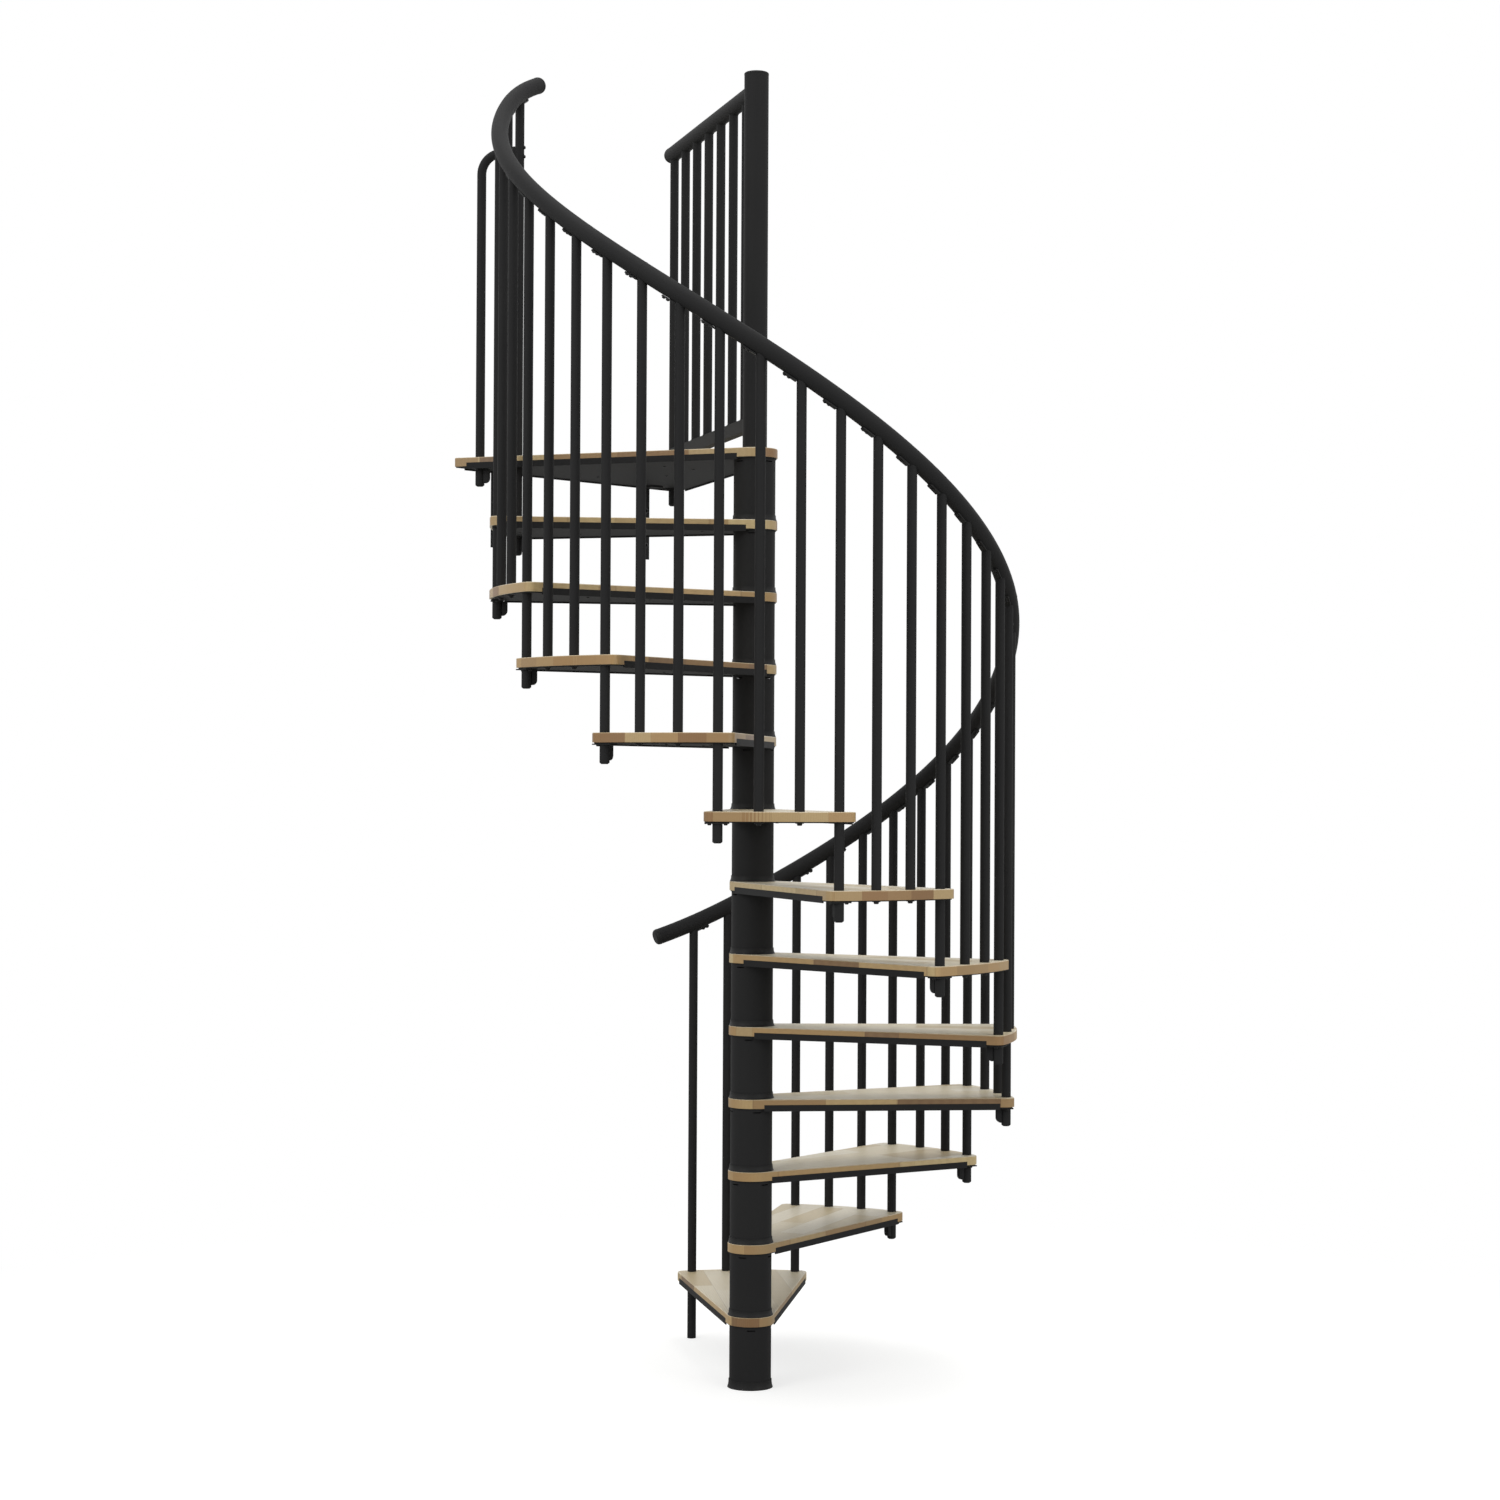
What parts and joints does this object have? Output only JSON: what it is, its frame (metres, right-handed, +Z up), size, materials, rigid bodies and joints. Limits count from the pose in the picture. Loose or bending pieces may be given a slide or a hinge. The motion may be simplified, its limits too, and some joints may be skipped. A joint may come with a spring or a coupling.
{
  "type": "spiral staircase",
  "caption": "Round spiral stair with wedge-shaped wooden treads on a steel column, a triangular landing, round handrail and upright balusters.",
  "frame": {"origin": "column axis on the floor, at the underside of the base plate", "axes": "+Z up the column, +Y from the column to the landing's straight edge, where the upper floor's slab begins"},
  "size_m": [1.405, 1.4661, 3.5474],
  "materials": {
    "black_steel": "fine matte powder coat",
    "hardwood": "clear satin lacquer on finger-jointed staves",
    "black_plastic": "matte"
  },
  "bodies": {
    "root": {"baluster_brackets": "black_steel", "base_plate": "black_steel", "centre_post": "black_steel", "column_spacers": "black_steel", "handrail_section_1": "black_steel", "handrail_section_2": "black_steel", "handrail_section_3": "black_steel", "joint_balusters": "black_steel", "landing_balusters": "black_steel", "landing_board": "hardwood", "landing_bottom_rail": "black_steel", "landing_top_rail": "black_steel", "landing_tray": "black_steel", "post_cap": "black_plastic", "rail_end_caps": "black_plastic", "rail_saddles": "black_plastic", "safety_bar": "black_steel", "slab_fixing_plates": "black_steel", "spacer_collars": "black_plastic", "tread_01_board": "hardwood", "tread_01_tray": "black_steel", "tread_02_board": "hardwood", "tread_02_tray": "black_steel", "tread_03_board": "hardwood", "tread_03_tray": "black_steel", "tread_04_board": "hardwood", "tread_04_tray": "black_steel", "tread_05_board": "hardwood", "tread_05_tray": "black_steel", "tread_06_board": "hardwood", "tread_06_tray": "black_steel", "tread_07_board": "hardwood", "tread_07_tray": "black_steel", "tread_08_board": "hardwood", "tread_08_tray": "black_steel", "tread_09_board": "hardwood", "tread_09_tray": "black_steel", "tread_10_board": "hardwood", "tread_10_tray": "black_steel", "tread_11_board": "hardwood", "tread_11_tray": "black_steel", "tread_12_board": "hardwood", "tread_12_tray": "black_steel", "tread_balusters": "black_steel"}
  },
  "joints": []
}
